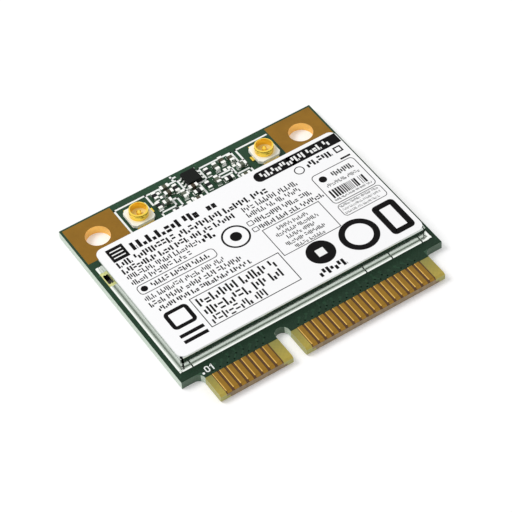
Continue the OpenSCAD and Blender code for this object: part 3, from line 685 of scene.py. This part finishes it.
# Marks, in shares of a row's height: feet and heads of uprights, feet of stacked bars, heads of blocks
UPRIGHTS = (((0, 1), (0.35, 0.8)), ((0.2, 0.75), (0, 1)), ((0, 0.6), (0.4, 1)),
            ((0.4, 1), (0, 0.6)), ((0, 1), (0, 0.4)), ((0.3, 1), (0, 1)))
STACKS = ((0, 0.5), (0.28, 0.8), (0.05, 0.4))
BLOCK_HEADS = (0.3, 0.45)
MARK_W, MARK_GAP, WORD_GAP, UPRIGHT_GAP, BLOCK_GAP = 0.5, 0.15, 0.34, 0.16, 0.1
# Fewest and most marks in a row's first word, and in the others
FIRST_WORD, NEXT_WORD = (3, 8), (2, 8)
# Shares of the marks that are uprights and stacked bars
UPRIGHT_SHARE, STACK_SHARE = 0.62, 0.2
# Stroke of a mark against its row's, and the most that it may be
STROKE_GAIN, STROKE_MAX = 1.35, 0.34
# The block of bars: its corners, the room that the last bar needs, and the widths of bars and gaps
BARCODE = ((9.0, -0.2), (13.36, 0.95))
LAST_BAR_ROOM = 0.2
BAR_WIDTHS, BAR_GAPS = (0.07, 0.07, 0.14, 0.21), (0.07, 0.1, 0.16, 0.3)


def add_mark(shape, x, y, height, stroke, ink, rng):
    """A plain mark that is no character: uneven uprights, stacked bars or a block. Gives its width."""
    kind = rng.random()
    if kind < UPRIGHT_SHARE:
        for low, high in rng.choice(UPRIGHTS):
            add_block(shape, (x, y + low * height, ink[0]), (x + stroke, y + high * height, ink[1]))
            x += stroke + UPRIGHT_GAP * height
        return 2 * stroke + UPRIGHT_GAP * height
    width = MARK_W * height
    if kind < UPRIGHT_SHARE + STACK_SHARE:
        for low in rng.choice(STACKS):
            add_block(shape, (x, y + low * height, ink[0]),
                      (x + width, y + low * height + stroke, ink[1]))
        return width
    add_block(shape, (x, y, ink[0]), (x + stroke, y + height, ink[1]))
    add_block(shape, (x + stroke + BLOCK_GAP * height, y, ink[0]),
              (x + width, y + height * rng.choice(BLOCK_HEADS), ink[1]))
    return width


def add_row(shape, row, ink, rng):
    """Fills a row with words of plain marks."""
    left, right, foot, head, share = row
    height = head - foot
    stroke = min(STROKE_MAX, share * STROKE_GAIN) * height
    x, word = left, rng.randint(*FIRST_WORD)
    while x + MARK_W * height < right:
        x += add_mark(shape, x, foot, height, stroke, ink, rng) + MARK_GAP * height
        word -= 1
        if word == 0:
            x += WORD_GAP * height
            word = rng.randint(*NEXT_WORD)


class CARD_OT_label(bpy.types.Operator):
    """Gives the label its paper and a generic print of bars, boxes and plain shapes"""

    bl_idname = "mini_card.label"
    bl_label = "Label"

    def execute(self, context):
        colours = context.scene.card_colours
        top = node_box("label")[1].z
        ink = (top - SINK, top + context.scene.card_sizes.ink_t / MM)
        rng = random.Random(PRINT_SEED)
        dress(["label"], matt_finish("label_paper", colours.paper, 0.55, 9.0, 0.002, 0.01, 0.3))
        shape = bmesh.new()
        for row in PRINT_ROWS:
            add_row(shape, row, ink, rng)
        for box in PRINT_BOXES:
            add_outline(shape, *box, *ink)
        for low, high in PRINT_BLOCKS:
            add_block(shape, (*low, ink[0]), (*high, ink[1]))
        for disc in PRINT_DISCS:
            add_disc(shape, *disc, *ink)
        for ring in PRINT_RINGS:
            add_ring(shape, *ring, *ink)
        raise_sheet(shape, flat_sheet(*PRINT_BAR), *ink)
        self.add_barcode(shape, ink, rng)
        black = matt_finish("label_ink", colours.ink, 0.45, 9.0, 0.002, 0.1, 0.07)
        add_piece("label_print", shape, black)
        self.add_reversed(ink, rng)
        return {"FINISHED"}

    def add_barcode(self, shape, ink, rng):
        """A block of bars of chance widths that says nothing."""
        (left, foot), (right, head) = BARCODE
        x = left
        while x < right - LAST_BAR_ROOM:
            width = rng.choice(BAR_WIDTHS)
            add_block(shape, (x, foot, ink[0]), (x + width, head, ink[1]))
            x += width + rng.choice(BAR_GAPS)

    def add_reversed(self, ink, rng):
        """White marks on the black bar, square and disc."""
        z_low, z_high = ink[1] - REVERSED_SINK, ink[1] + REVERSED_RISE
        shape = bmesh.new()
        add_row(shape, REVERSED_ROW, (z_low, z_high), rng)
        for low, high in REVERSED_BLOCKS:
            add_block(shape, (*low, z_low), (*high, z_high))
        add_piece("label_print_reversed", shape, bpy.data.materials["label_paper"])


class CARD_OT_board(bpy.types.Operator):
    """Finishes the laminate, the solder mask and the plated pads"""

    bl_idname = "mini_card.board"
    bl_label = "Board"

    def execute(self, context):
        colours = context.scene.card_colours
        dress(["circuit_board"], laminate_finish(colours))
        dress(["solder_mask_top", "solder_mask_bottom"], mask_finish("solder_mask", colours, 1.0))
        # The screw holes' walls get bright gold, a painted highlight on the same plating as the pad face.
        pad = plated_finish("pad_gold", colours.pad_gold, colours.hole_gold_highlight, 0.42, 0.75)
        dress(["screw_pad_left", "screw_pad_right", "test_pads"], pad)
        # The slot's walls get a near-black brown as painted shade inside the opening.
        slot = plated_finish("slot_gold", colours.slot_gold, shade(colours.contact_gap_shade, 0.2), 0.3, 0.6)
        dress(["slot_pad"], slot)
        tin = metal_finish("tin", colours.tin, 0.22, 0.006, 3.0, 1.0, 0.02)
        dress(["ground_strip", "lands", "switch_chip_leads", "capacitor_ends", "resistor_ends",
               "inductor_ends", "wifi_chip_contacts", "front_end_contacts", "crystal_lid",
               "memory_chip_contacts", "power_inductor_ends", "inner_capacitor_ends",
               "inner_resistor_ends"], tin)
        return {"FINISHED"}


CONTACT_W, CONTACT_PITCH = 0.6, 0.8
# Tracks: how many shift aside together, by how much, where they bend, and the least length after that
TRACK_GROUP, TRACK_SHIFTS, BEND, LAST_STRETCH = 4, (-0.4, 0.3, 0.5), 0.3, 0.1
# Their greatest reach on each face, and the shares of it that they may have
UPPER_REACH, LOWER_REACH, REACH_SHARES, TRACK_SEED = 1.5, 9.0, (0.35, 1.0), 5
# Vias: rise above a track, sides, and the share, sides, start, inset, step and count along the edges
VIA_RISE, VIA_SIDES, SMALL_VIA, SMALL_VIA_SIDES = 0.002, 16, 0.7, 14
SIDE_VIA_START, SIDE_VIA_INSET, SIDE_VIA_STEP, SIDE_VIAS = 1.4, 0.27, 1.9, 9
BACK_VIA_START, BACK_VIA_INSET, BACK_VIA_STEP, BACK_VIAS = -8.4, 0.35, 1.85, 10


def contact_lefts(low, high):
    """The left side of each contact in a row between two corners."""
    count = round((high.x - low.x - CONTACT_W) / CONTACT_PITCH) + 1
    return [low.x + i * CONTACT_PITCH for i in range(count)]


class CARD_OT_tracks(bpy.types.Operator):
    """Raises the copper tracks and vias that show through the solder mask"""

    bl_idname = "mini_card.tracks"
    bl_label = "Tracks"

    def execute(self, context):
        sizes = context.scene.card_sizes
        self.width = sizes.track_w / MM
        self.via_r = sizes.via_r / MM
        height = sizes.track_t / MM
        rng = random.Random(TRACK_SEED)
        top = node_box("solder_mask_top")[1].z
        under = node_box("solder_mask_bottom")[0].z
        above, below = (top - SINK, top + height), (under - height, under + SINK)
        upper, lower = bmesh.new(), bmesh.new()
        self.add_contact_tracks(upper, "contacts_top_", above, UPPER_REACH, rng)
        self.add_contact_tracks(lower, "contacts_bottom_", below, LOWER_REACH, rng)
        self.add_border_vias(upper, above)
        self.add_border_vias(lower, below)
        tone = mask_finish("mask_over_copper", context.scene.card_colours, 1.5)
        add_piece("tracks_top", upper, tone)
        add_piece("tracks_bottom", lower, tone)
        return {"FINISHED"}

    def add_contact_tracks(self, shape, prefix, levels, reach, rng):
        """Tracks from each contact up the board, in parallel groups that shift aside together."""
        for side in ("short", "long"):
            low, high = node_box(prefix + side)
            bend = high.y + BEND
            for i, left in enumerate(contact_lefts(low, high)):
                if i % TRACK_GROUP == 0:
                    shift = rng.choice(TRACK_SHIFTS)
                x = left + CONTACT_W / 2
                length = reach * rng.uniform(*REACH_SHARES)
                points = [(x, high.y), (x, bend), (x + shift, bend + abs(shift))]
                points.append((x + shift, max(high.y + length, bend + abs(shift) + LAST_STRETCH)))
                add_path(shape, points, self.width, *levels)
                add_disc(shape, points[-1], self.via_r, VIA_SIDES,
                         levels[0] - VIA_RISE, levels[1] + VIA_RISE)

    def add_border_vias(self, shape, levels):
        """Vias in a line inside the edges of the board."""
        low, high = node_box("circuit_board")
        start = node_box("contacts_top_long")[1].y + SIDE_VIA_START
        places = [(x, start + i * SIDE_VIA_STEP) for x in (low.x + SIDE_VIA_INSET, high.x - SIDE_VIA_INSET)
                  for i in range(SIDE_VIAS)]
        places += [(BACK_VIA_START + i * BACK_VIA_STEP, high.y - BACK_VIA_INSET) for i in range(BACK_VIAS)]
        for place in places:
            add_disc(shape, place, self.via_r * SMALL_VIA, SMALL_VIA_SIDES, *levels)


# The lead-in bevel at the tip, a stub's thickness and its end before the tip, and a contact's rim bevel
TIP_BEVEL_L, TIP_BEVEL_T = 0.24, 0.14
STUB_T, STUB_END, RIM_BEVEL = 0.012, 0.01, 0.02


class CARD_OT_contacts(bpy.types.Operator):
    """Builds the edge contacts with sloped sides and their plating stubs over the bevel"""

    bl_idname = "mini_card.contacts"
    bl_label = "Contacts"

    def execute(self, context):
        sizes = context.scene.card_sizes
        self.slope = sizes.contact_slope / MM
        self.stub_w = sizes.stub_w / MM
        gold = contact_finish(context.scene.card_colours)
        for face in ("top", "bottom"):
            for side in ("short", "long"):
                self.add_row_of_contacts(f"contacts_{face}_{side}", gold)
        return {"FINISHED"}

    def add_row_of_contacts(self, name, gold):
        low, high = node_box(name)
        upper = "top" in name
        outer_z, inner_z = (high.z, low.z) if upper else (low.z, high.z)
        shape = bmesh.new()
        for x in contact_lefts(low, high):
            verts = add_block(shape, (x, low.y, low.z), (x + CONTACT_W, high.y, high.z))
            self.slope_sides(shape, verts, x + CONTACT_W / 2, outer_z)
            self.add_stub(shape, x + CONTACT_W / 2, low.y, inner_z, upper)
        add_piece(name + "_plated", shape, gold, [name])

    def slope_sides(self, shape, verts, middle_x, outer_z):
        """Draws the outer face in, as etching does, and rounds its rim."""
        outer = [vert for vert in verts if abs(vert.co.z - outer_z) < TOUCH]
        share = 1 - 2 * self.slope / CONTACT_W
        for vert in outer:
            vert.co.x = middle_x + (vert.co.x - middle_x) * share
        rim = {edge for vert in outer for edge in vert.link_edges
               if all(v in outer for v in edge.verts)}
        bmesh.ops.bevel(shape, geom=list(rim), offset=RIM_BEVEL, offset_type="OFFSET",
                        segments=2, profile=0.5, affect="EDGES", material=-1)

    def add_stub(self, shape, middle_x, start_y, face_z, upper):
        """The narrow plating stub that runs down the lead-in bevel to the tip."""
        tip = node_box("circuit_board")[0].y
        skin, sink = (STUB_T, -TIP_BEVEL_T) if upper else (-STUB_T, TIP_BEVEL_T)
        for (near, near_z), (far, far_z) in (((start_y, 0), (tip + TIP_BEVEL_L, 0)),
                                             ((tip + TIP_BEVEL_L, 0), (tip + STUB_END, sink))):
            verts = add_block(shape, (middle_x - self.stub_w / 2, far, min(face_z, face_z + skin)),
                              (middle_x + self.stub_w / 2, near, max(face_z, face_z + skin)))
            for vert in verts:
                vert.co.z += near_z if abs(vert.co.y - near) < TOUCH else far_z


# The solder line, dark grey as painted shade at the can's foot: its rise, lap under the can, sink, and how
# far from the back it ends
SEAM_RISE, SEAM_LAP, SEAM_SINK, SEAM_END = 0.03, 0.005, 0.002, 1.0
# The solder on the track: its swell, the cuts that shape it, and the bare rim that it leaves
BEAD_RISE, BEAD_CUTS, RIM = 0.06, 7, 0.02


class CARD_OT_shield(bpy.types.Operator):
    """Finishes the shield can and adds the solder round its foot, dark grey as painted shade of the gap at
    the foot
    """

    bl_idname = "mini_card.shield"
    bl_label = "Shield can"

    def execute(self, context):
        colours = context.scene.card_colours
        dress(["shield_can"], sheet_finish(colours))
        reach = context.scene.card_sizes.seam_w / MM
        low, high = node_box("shield_can")
        half = reach / 2 - SEAM_LAP
        corners = [(low.x - half, node_box("slot_pad")[0].y - reach), (low.x - half, low.y - half),
                   (high.x + half, low.y - half), (high.x + half, high.y - SEAM_END)]
        shape = bmesh.new()
        add_path(shape, corners, reach, low.z - SEAM_SINK, low.z + SEAM_RISE)
        # The solder line is a real seam, coloured dark grey as painted shade at the can's foot.
        seam = metal_finish("can_seam_shaded", colours.seam, 0.4, 0.02, 3.0, 0.5, 0.2)
        add_piece("can_seam_shaded", shape, seam)
        self.add_track_solder(colours, reach)
        return {"FINISHED"}

    def add_track_solder(self, colours, reach):
        """Swelling solder on each stretch of the track, split at the slot pad."""
        can_low, can_high = node_box("shield_can")
        track_low, track_high = node_box("ground_strip")
        slot_low, slot_high = node_box("slot_pad")
        shape = bmesh.new()
        for low, high in node_islands("ground_strip"):
            if low.y < track_low.y + RIM:
                self.add_bead(shape, (low.x, low.y + RIM), (high.x, can_low.y - reach), 1, track_high.z)
            if high.x > track_high.x - RIM:
                self.add_bead(shape, (can_high.x + reach, low.y), (high.x - RIM, high.y), 0, track_high.z)
            if low.x > track_low.x + RIM:
                continue
            for start, end in ((low.y, min(high.y, slot_low.y)), (max(low.y, slot_high.y), high.y)):
                if end > start + reach:
                    self.add_bead(shape, (low.x + RIM, start), (can_low.x - reach, end), 0, track_high.z)
        solder = metal_finish("track_solder", colours.track_tin, 0.24, 0.01, 2.4, 1.0, 0.03)
        add_piece("track_solder", shape, solder)

    def add_bead(self, shape, low, high, across, foot_z):
        """A bar whose top swells across its width."""
        bead = bmesh.new()
        add_block(bead, (*low, foot_z - SINK), (*high, foot_z + SINK))
        middle, half = (low[across] + high[across]) / 2, (high[across] - low[across]) / 2
        rungs = [edge for edge in bead.edges
                 if abs(edge.verts[0].co[across] - edge.verts[1].co[across]) > half]
        bmesh.ops.subdivide_edges(bead, edges=rungs, cuts=BEAD_CUTS)
        for vert in bead.verts:
            if vert.co.z > foot_z:
                vert.co.z += BEAD_RISE * (1 - ((vert.co[across] - middle) / half) ** 2)
        join(shape, bead)


class CARD_OT_parts(bpy.types.Operator):
    """Finishes the chips, the small parts and the antenna sockets"""

    bl_idname = "mini_card.parts"
    bl_label = "Parts"

    def execute(self, context):
        colours = context.scene.card_colours
        epoxy = matt_finish("chip_epoxy", colours.epoxy, 0.5, 10.0, 0.006, 0.3, 0.1)
        dress(["switch_chip", "wifi_chip", "front_end_chip", "memory_chip"], epoxy)
        capacitor = ceramic_finish("capacitor_ceramic", colours.capacitor, colours.capacitor_light)
        dress(["capacitor_bodies", "inner_capacitor_bodies"], capacitor)
        resistor = matt_finish("resistor_glaze", colours.resistor, 0.3, 6.0, 0.004, 0.12, 0.15)
        dress(["resistor_bodies", "inner_resistor_bodies"], resistor)
        inductor = ceramic_finish("inductor_ceramic", colours.inductor, colours.inductor_light)
        dress(["inductor_bodies", "power_inductor", "crystal_base"], inductor)
        dress(["socket_base_left", "socket_base_right"], socket_plastic_finish(colours))
        gold = metal_finish("socket_gold", colours.socket_gold, 0.2, 0.003, 5.0, 1.0, 0.08)
        dress(["socket_ring_left", "socket_ring_right", "socket_pin_left", "socket_pin_right"], gold)
        return {"FINISHED"}


# Solder at a metal end: its lap under the end, and its width, rise and hollow as shares
FILLET_LAP, FILLET_W, FILLET_RISE, FILLET_HOLLOW = 0.01, 0.92, 0.75, (0.42, 0.2)


class CARD_OT_solder(bpy.types.Operator):
    """Adds the solder at the metal ends of the small parts"""

    bl_idname = "mini_card.solder"
    bl_label = "Solder"

    def execute(self, context):
        self.reach = context.scene.card_sizes.fillet_out / MM
        shape = bmesh.new()
        for kind in ("capacitor", "resistor", "inductor"):
            bodies = [sum(box, Vector()) / 2 for box in node_islands(kind + "_bodies")]
            for low, high in node_islands(kind + "_ends"):
                self.add_fillet(shape, low, high, bodies)
        solder = metal_finish("solder", context.scene.card_colours.tin, 0.2, 0.02, 4.0, 0.9, 0.08)
        add_piece("solder_fillets", shape, solder)
        return {"FINISHED"}

    def add_fillet(self, shape, low, high, bodies):
        """A hollow wedge from a metal end down to its land."""
        middle = (low + high) / 2
        body = min(bodies, key=lambda place: (place - middle).length)
        out = Vector((middle.x - body.x, middle.y - body.y, 0)).normalized()
        half = (high - low) / 2
        face = middle + Vector((out.x * half.x, out.y * half.y, 0))
        side = Vector((-out.y, out.x, 0)) * (abs(out.y) * half.x + abs(out.x) * half.y) * FILLET_W
        rise = (high.z - low.z) * FILLET_RISE
        hollow = (self.reach * FILLET_HOLLOW[0], rise * FILLET_HOLLOW[1])
        profile = ((0, 0), (self.reach, 0), hollow, (0, rise))
        verts = [shape.verts.new(Vector((face.x, face.y, low.z)) + out * (across - FILLET_LAP) - side
                                 + Vector((0, 0, up))) for across, up in profile]
        made = bmesh.ops.extrude_face_region(shape, geom=[shape.faces.new(verts)])
        moved = [item for item in made["geom"] if isinstance(item, bmesh.types.BMVert)]
        bmesh.ops.translate(shape, vec=side * 2, verts=moved)
        bmesh.ops.recalc_face_normals(shape, faces=shape.faces[:])


# The floor's radius, and the place and width of the lamp, in metres
FLOOR_R = 1.5
KEY_PLACE, KEY_W = (-0.2, 0.16, 0.34), 0.22


class CARD_OT_stage(bpy.types.Operator):
    """Makes the floor, the world, the lamp and the camera"""

    bl_idname = "mini_card.stage"
    bl_label = "Stage"

    def execute(self, context):
        settings = context.scene.card_stage
        self.make_floor(context, settings)
        self.make_world(context, settings)
        self.make_lamp(settings)
        self.make_camera(context, settings)
        context.scene.view_settings.view_transform = "Standard"
        return {"FINISHED"}

    def empty_tree(self, holder):
        """The node tree of a material or world, emptied."""
        holder.use_nodes = True
        holder.node_tree.nodes.clear()
        return Finish(holder.node_tree)

    def seen_directly(self, finish):
        """1 for rays from the camera, mirrors or glass, and 0 for light."""
        return sum(finish.add("ShaderNodeLightPath", output=f"Is {kind} Ray")
                   for kind in ("Camera", "Glossy", "Transmission")).bounded()

    def make_floor(self, context, settings):
        """A matt floor with a slight glow that only the camera and mirrors see."""
        shape = bmesh.new()
        bmesh.ops.create_circle(shape, cap_ends=True, segments=64, radius=FLOOR_R)
        mesh = mesh_of("floor", shape)
        made = bpy.data.materials.new("floor")
        finish = self.empty_tree(made)
        matt = finish.add("ShaderNodeBsdfDiffuse",
                          inputs={"Color": (*context.scene.card_colours.floor, 1)})
        glow = finish.add("ShaderNodeEmission", inputs={
            "Color": (1, 1, 1, 1), "Strength": self.seen_directly(finish) * settings.floor_lift})
        both = finish.add("ShaderNodeAddShader", inputs={0: matt, 1: glow})
        finish.add("ShaderNodeOutputMaterial", inputs={"Surface": both})
        mesh.materials.append(made)
        put_object("floor", mesh)

    def make_world(self, context, settings):
        """White to the camera and mirrors, and a lower level as light."""
        world = bpy.data.worlds.new("studio")
        context.scene.world = world
        finish = self.empty_tree(world)
        level = self.seen_directly(finish) * (1 - settings.world_level) + settings.world_level
        sky = finish.add("ShaderNodeBackground", inputs={"Color": (1, 1, 1, 1), "Strength": level})
        finish.add("ShaderNodeOutputWorld", inputs={"Surface": sky})

    def make_lamp(self, settings):
        """One large lamp at the back left, which metal doesn't mirror."""
        lamp = bpy.data.lights.new("key", "AREA")
        lamp.shape = "DISK"
        lamp.size = KEY_W
        lamp.energy = settings.key_power
        key = put_object("key", lamp)
        place = Vector(KEY_PLACE)
        key.location = place
        key.visible_glossy = False
        key.rotation_euler = place.to_track_quat("Z", "Y").to_euler()

    def make_camera(self, context, settings):
        """A camera that looks at its target from a distance, turned by its three angles."""
        azimuth, elevation = settings.azimuth, settings.elevation
        back = Vector((math.sin(azimuth) * math.cos(elevation),
                       -math.cos(azimuth) * math.cos(elevation), math.sin(elevation)))
        right = (-back).cross(Vector((0, 0, 1))).normalized()
        up = right.cross(-back)
        level = Matrix((right, up, back)).transposed().to_4x4()
        data = bpy.data.cameras.new("camera")
        data.sensor_width = 36
        data.lens = settings.lens
        data.clip_start, data.clip_end = 0.01, 10
        camera = put_object("camera", data)
        camera.matrix_world = (Matrix.Translation(Vector(settings.target) + back * settings.distance)
                               @ level @ Matrix.Rotation(settings.roll, 4, "Z"))
        context.scene.camera = camera


PIECE_OPERATORS = (CARD_OT_board, CARD_OT_tracks, CARD_OT_contacts, CARD_OT_shield, CARD_OT_parts,
                   CARD_OT_solder, CARD_OT_silkscreen, CARD_OT_label, CARD_OT_stage)


class CARD_PT_panel(bpy.types.Panel):
    """Lists the card's pieces"""

    bl_idname = "CARD_PT_panel"
    bl_label = "Mini card"
    bl_space_type = "VIEW_3D"
    bl_region_type = "UI"
    bl_category = "Mini card"

    def draw(self, context):
        for operator in PIECE_OPERATORS:
            self.layout.operator(operator.bl_idname)


CLASSES = (CardColours, CardSizes, StageSettings, *PIECE_OPERATORS, CARD_PT_panel)


def register():
    for cls in CLASSES:
        bpy.utils.register_class(cls)
    bpy.types.Scene.card_colours = PointerProperty(type=CardColours)
    bpy.types.Scene.card_sizes = PointerProperty(type=CardSizes)
    bpy.types.Scene.card_stage = PointerProperty(type=StageSettings)


def unregister():
    del bpy.types.Scene.card_stage
    del bpy.types.Scene.card_sizes
    del bpy.types.Scene.card_colours
    for cls in reversed(CLASSES):
        bpy.utils.unregister_class(cls)


def main():
    register()
    for operator in PIECE_OPERATORS:
        getattr(bpy.ops.mini_card, operator.bl_idname.split(".")[1])()


if __name__ == "__main__":
    main()
